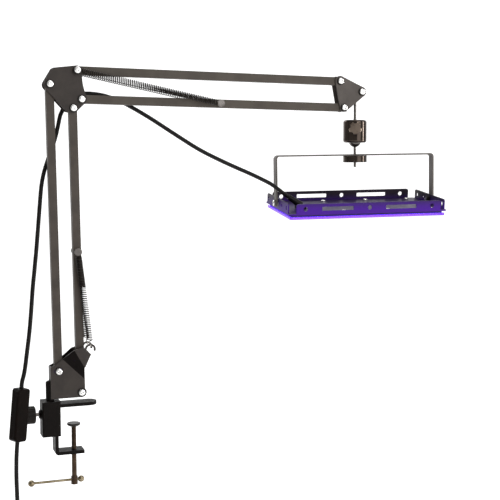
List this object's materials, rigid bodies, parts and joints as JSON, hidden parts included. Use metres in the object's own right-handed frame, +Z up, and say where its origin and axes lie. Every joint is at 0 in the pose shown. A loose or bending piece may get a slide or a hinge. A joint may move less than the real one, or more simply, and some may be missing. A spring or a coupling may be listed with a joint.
{
  "type": "screen printing exposure unit",
  "caption": "UV flood lamp for exposing printing screens, hung in a tilting bracket from a ball head on a sprung folding arm with a table clamp, and a cord with a switch.",
  "frame": {"origin": "underside of the clamp's upper jaw, on the clamp screw's axis", "axes": "+Z up, +X along the folded-out arm from the clamp to the lamp, +Y away from the viewer"},
  "size_m": [0.5686, 0.1212, 0.6548],
  "materials": {
    "cast_black": "satin black enamel",
    "pad_steel": "blackened",
    "screw_steel": "dark oxide, oiled",
    "bar_steel": "warm plated",
    "knob_plastic": "ribbed, black",
    "plated_steel": "bright zinc",
    "arm_coat": "satin powder coat",
    "plate_coat": "satin powder coat",
    "black_steel": "black oxide",
    "nylon": "black nylon",
    "spring_steel": "black",
    "gloss_black": "gloss black",
    "stem_steel": "turned",
    "plunger_nylon": "natural nylon",
    "bracket_coat": "satin powder coat",
    "lamp_coat": "satin black",
    "board_white": "white solder mask",
    "led_resin": "clear resin",
    "seal_rubber": "silicone",
    "lamp_glass": "polished",
    "gland_plastic": "black",
    "cord_rubber": "satin black",
    "switch_plastic": "satin black",
    "plug_brass": "nickel plated"
  },
  "bodies": {
    "clamp": {"clamp_frame": "cast_black"},
    "pad": {"screw_pad": "pad_steel"},
    "screw": {"clamp_screw": "screw_steel"},
    "handle": {"tommy_bar": "bar_steel"},
    "sleeve_lock": {"lock_knob": "knob_plastic", "lock_screw": "plated_steel"},
    "base": {"swivel_post": "cast_black", "base_bracket": "plate_coat", "base_bolts": "plated_steel", "base_nuts": "black_steel", "base_washers": "nylon", "switch_front_shell": "switch_plastic", "switch_back_shell": "switch_plastic", "cord_tail": "cord_rubber", "cord_coil": "cord_rubber", "cord_tie": "switch_plastic", "plug_body": "cord_rubber", "plug_blades": "plug_brass"},
    "rocker": {"switch_rocker": "switch_plastic"},
    "rear_tube": {"rear_lower_tube": "arm_coat", "cord_drop": "cord_rubber"},
    "front_tube": {"front_lower_tube": "arm_coat", "lower_spring_pin": "black_steel", "lower_spring_front": "spring_steel", "lower_spring_back": "spring_steel"},
    "elbow": {"elbow_plate_front": "plate_coat", "elbow_plate_back": "plate_coat", "elbow_bolts": "plated_steel", "elbow_nuts": "black_steel", "elbow_washers": "nylon"},
    "top_tube": {"top_arm_tube": "arm_coat", "cord_upper": "cord_rubber"},
    "bottom_tube": {"bottom_arm_tube": "arm_coat", "upper_spring_pin": "black_steel", "upper_spring_front": "spring_steel", "upper_spring_back": "spring_steel"},
    "head": {"head_plate_front": "plate_coat", "head_plate_back": "plate_coat", "head_bolts": "plated_steel", "head_nuts": "black_steel", "head_washers": "nylon"},
    "hanger": {"hanger_block": "black_steel", "hanger_stud": "stem_steel"},
    "ball_house": {"ball_housing": "gloss_black", "ball_plunger": "plunger_nylon"},
    "ball_lock": {"ball_lock_knob": "knob_plastic"},
    "stem": {"ball_stem": "stem_steel"},
    "disc": {"lock_disc": "gloss_black"},
    "bracket": {"lamp_bracket": "bracket_coat", "bracket_bolts": "plated_steel", "bracket_nuts": "black_steel", "bracket_washers": "plated_steel"},
    "lamp": {"lamp_housing": "lamp_coat", "led_board": "board_white", "led_chips": "led_resin", "light_seal": "seal_rubber", "glass_cover": "lamp_glass", "housing_screws": "plated_steel", "cable_gland": "gland_plastic"}
  },
  "joints": [
    {"name": "pad_slide", "type": "slide", "parent": "clamp", "child": "pad", "axis": [0, 0, 1], "range_m": [-0.0272, 0.0213]},
    {"name": "screw_turn", "type": "hinge", "parent": "pad", "child": "screw", "pos_m": [0, 0, -0.06], "axis": [0, 0, 1], "range_deg": [-9720, 7560]},
    {"name": "handle_slide", "type": "slide", "parent": "screw", "child": "handle", "axis": [1, 0, 0], "range_m": [0, 0.0435]},
    {"name": "sleeve_lock_turn", "type": "hinge", "parent": "clamp", "child": "sleeve_lock", "pos_m": [-0.05, 0, -0.0085], "axis": [1, 0, 0], "range_deg": [0, 720]},
    {"name": "base_swivel", "type": "hinge", "parent": "clamp", "child": "base", "pos_m": [-0.028, 0, 0], "axis": [0, 0, 1], "range_deg": [-110, 110]},
    {"name": "lower_arm_tilt", "type": "hinge", "parent": "base", "child": "rear_tube", "pos_m": [-0.018, 0, 0.0435], "axis": [0, 1, 0], "range_deg": [-25, 60], "deforming": ["lower_spring_front", "lower_spring_back", "cord_drop"]},
    {"name": "front_tube_tilt", "type": "hinge", "parent": "base", "child": "front_tube", "pos_m": [0.009, 0, 0.0162], "axis": [0, 1, 0], "range_deg": [-25, 60]},
    {"name": "elbow_level", "type": "hinge", "parent": "rear_tube", "child": "elbow", "pos_m": [-0.02334, 0, 0.38346], "axis": [0, 1, 0], "range_deg": [-60, 25]},
    {"name": "upper_arm_tilt", "type": "hinge", "parent": "elbow", "child": "top_tube", "pos_m": [0.00826, 0, 0.40006], "axis": [0, 1, 0], "range_deg": [-30, 40], "deforming": ["upper_spring_front", "upper_spring_back", "cord_upper"]},
    {"name": "bottom_tube_tilt", "type": "hinge", "parent": "elbow", "child": "bottom_tube", "pos_m": [0.01366, 0, 0.36666], "axis": [0, 1, 0], "range_deg": [-30, 40]},
    {"name": "head_level", "type": "hinge", "parent": "top_tube", "child": "head", "pos_m": [0.34823, 0, 0.3959], "axis": [0, 1, 0], "range_deg": [-40, 30]},
    {"name": "hanger_pivot", "type": "hinge", "parent": "head", "child": "hanger", "pos_m": [0.37863, 0, 0.383], "axis": [0, 1, 0], "range_deg": [-30, 18]},
    {"name": "housing_swivel", "type": "hinge", "parent": "hanger", "child": "ball_house", "pos_m": [0.37263, 0, 0.3468], "axis": [0, 0, 1], "range_deg": [-60, 60]},
    {"name": "ball_lock_turn", "type": "hinge", "parent": "ball_house", "child": "ball_lock", "pos_m": [0.36613, -0.01462, 0.3354], "axis": [0.4067, 0.9135, 0], "range_deg": [0, 720]},
    {"name": "ball_tilt", "type": "hinge", "parent": "ball_house", "child": "stem", "pos_m": [0.37263, 0, 0.3197], "axis": [0, 1, 0], "range_deg": [-35, 25]},
    {"name": "disc_turn", "type": "hinge", "parent": "stem", "child": "disc", "pos_m": [0.37263, 0, 0.3197], "axis": [-0.0157, 0, 0.9999], "range_deg": [0, 720]},
    {"name": "bracket_swivel", "type": "hinge", "parent": "stem", "child": "bracket", "pos_m": [0.37263, 0, 0.3197], "axis": [-0.0157, 0, 0.9999], "range_deg": [-60, 60]},
    {"name": "lamp_tilt", "type": "hinge", "parent": "bracket", "child": "lamp", "pos_m": [0.37385, 0, 0.24201], "axis": [0.9968, -0.0785, 0.0157], "range_deg": [-70, 55]},
    {"name": "switch_rock", "type": "hinge", "parent": "base", "child": "rocker", "pos_m": [-0.06925, -0.02132, -0.00103], "axis": [-0.8625, -0.5, 0.0785], "range_deg": [0, 9]}
  ],
  "couplings": [
    {"joint": "pad_slide", "follows": "screw_turn", "m_per_rad": 0.00015915},
    {"joint": "front_tube_tilt", "follows": "lower_arm_tilt", "ratio": 1},
    {"joint": "elbow_level", "follows": "lower_arm_tilt", "ratio": -1},
    {"joint": "bottom_tube_tilt", "follows": "upper_arm_tilt", "ratio": 1},
    {"joint": "head_level", "follows": "upper_arm_tilt", "ratio": -1}
  ]
}
